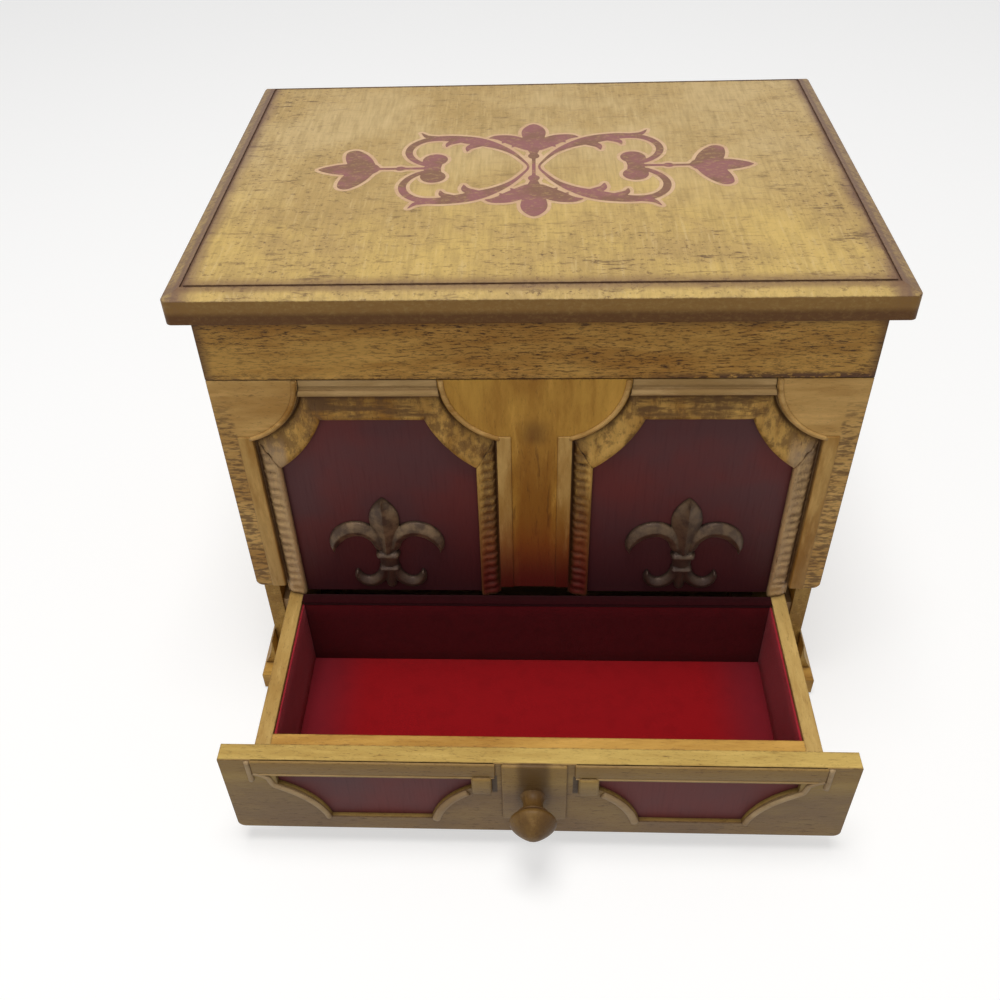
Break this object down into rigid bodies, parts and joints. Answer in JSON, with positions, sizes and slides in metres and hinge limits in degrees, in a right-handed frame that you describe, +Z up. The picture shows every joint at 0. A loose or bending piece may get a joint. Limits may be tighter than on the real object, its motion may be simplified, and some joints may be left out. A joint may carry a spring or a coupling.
{
  "type": "musical jewelry box",
  "caption": "Wooden musical jewelry box with a hinged mirrored lid, arched red front panels with fleur-de-lis, a felt-lined compartment with ring rolls, and a drawer below.",
  "frame": {"origin": "middle of the box's footprint on the surface that it stands on", "axes": "+Z up, front towards -Y, +X to the right of a person who looks at the front; lid closed and drawer pulled out to its stops at rest"},
  "size_m": [0.2636, 0.3014, 0.2266],
  "materials": {
    "gold_wood": "antique gold paint rubbed with brown glaze, satin",
    "plain_wood": "unfinished light wood",
    "red_panel": "dark red paint, satin",
    "pewter": "antiqued pewter with a bronze tone",
    "red_felt": "short red felt",
    "foot_felt": "dark felt",
    "mirror_glass": "silvered glass",
    "brass": "satin brass",
    "steel": "plated steel",
    "cast_metal": "plain cast metal"
  },
  "bodies": {
    "case": {"base_felt": "foot_felt", "base_front_moulding": "gold_wood", "base_side_mouldings": "gold_wood", "case_back_panel": "gold_wood", "case_bottom_board": "plain_wood", "case_side_boards": "gold_wood", "comb_block": "plain_wood", "compartment_floor": "plain_wood", "compartment_floor_felt": "red_felt", "compartment_wall_felt": "red_felt", "movement_uprights": "brass", "drawer_runners": "plain_wood", "front_backing_board": "plain_wood", "front_centre_post": "gold_wood", "front_stiles": "gold_wood", "front_mouldings": "gold_wood", "front_red_panels": "red_panel", "fleurs_de_lis": "pewter", "governor_frame": "brass", "hinge_case_leaves": "brass", "hinge_case_screws": "brass", "hinge_pins": "steel", "movement_screws": "steel", "music_bedplate": "cast_metal", "music_chamber_wall": "plain_wood", "music_comb": "steel", "ring_rolls": "red_felt", "ring_tray_supports": "plain_wood", "ring_tray_shelf": "plain_wood", "stay_guide_pin": "steel", "stop_rod_guide": "brass"},
    "lid": {"lid_top_board": "gold_wood", "lid_front_rail": "gold_wood", "lid_back_rail": "gold_wood", "lid_side_rails": "gold_wood", "lid_lining": "red_felt", "lid_mirror": "mirror_glass", "mirror_bead": "gold_wood", "hinge_lid_leaves": "brass", "hinge_lid_screws": "brass", "stay_rivet": "steel"},
    "stay_arm": {"lid_stay_arm": "steel"},
    "drawer": {"drawer_front": "gold_wood", "drawer_red_panels": "red_panel", "drawer_inner_front": "gold_wood", "drawer_sides": "gold_wood", "drawer_back": "gold_wood", "drawer_bottom": "plain_wood", "drawer_floor_felt": "red_felt", "drawer_wall_felt": "red_felt", "drawer_stop_pegs": "plain_wood", "drawer_knob": "gold_wood"},
    "stop_rod": {"stop_rod": "steel"},
    "stop_lever": {"stop_lever": "steel"},
    "key": {"winding_key": "steel", "spring_arbor": "steel"},
    "cylinder": {"music_cylinder": "brass"},
    "governor": {"governor_wheel": "brass"},
    "fly": {"air_brake_fly": "steel"}
  },
  "joints": [
    {"name": "lid_hinge", "type": "hinge", "parent": "case", "child": "lid", "pos_m": [0, 0.095, 0.1847], "axis": [-1, 0, 0], "range_deg": [0, 95]},
    {"name": "stay_turn", "type": "hinge", "parent": "lid", "child": "stay_arm", "pos_m": [0.1154, 0.06647, 0.19397], "axis": [-1, 0, 0], "range_deg": [-47.6, 0]},
    {"name": "drawer_slide", "type": "slide", "parent": "case", "child": "drawer", "axis": [0, -1, 0], "range_m": [-0.08515, 0]},
    {"name": "stop_rod_lift", "type": "slide", "parent": "case", "child": "stop_rod", "axis": [0, 0, 1], "range_m": [0, 0.004]},
    {"name": "stop_lever_turn", "type": "hinge", "parent": "case", "child": "stop_lever", "pos_m": [0.056, 0.0681, 0.035], "axis": [1, 0, 0], "range_deg": [0, 12.5]},
    {"name": "key_turn", "type": "hinge", "parent": "case", "child": "key", "pos_m": [0.028, 0.085, 0.026], "axis": [0, 1, 0], "continuous": true},
    {"name": "cylinder_turn", "type": "hinge", "parent": "case", "child": "cylinder", "pos_m": [0.028, 0.055, 0.026], "axis": [0, 1, 0], "continuous": true},
    {"name": "governor_turn", "type": "hinge", "parent": "case", "child": "governor", "pos_m": [0.042, 0.04, 0.022], "axis": [0, 1, 0], "continuous": true},
    {"name": "fly_turn", "type": "hinge", "parent": "case", "child": "fly", "pos_m": [0.0506, 0.0415, 0.03], "axis": [0, 0, 1], "continuous": true}
  ],
  "couplings": [
    {"joint": "stay_turn", "follows": "lid_hinge", "ratio": -0.5},
    {"joint": "stop_rod_lift", "follows": "lid_hinge", "m_per_rad": 0.0024},
    {"joint": "stop_lever_turn", "follows": "lid_hinge", "ratio": 0.1263},
    {"joint": "governor_turn", "follows": "cylinder_turn", "ratio": -5},
    {"joint": "fly_turn", "follows": "cylinder_turn", "ratio": 30}
  ]
}
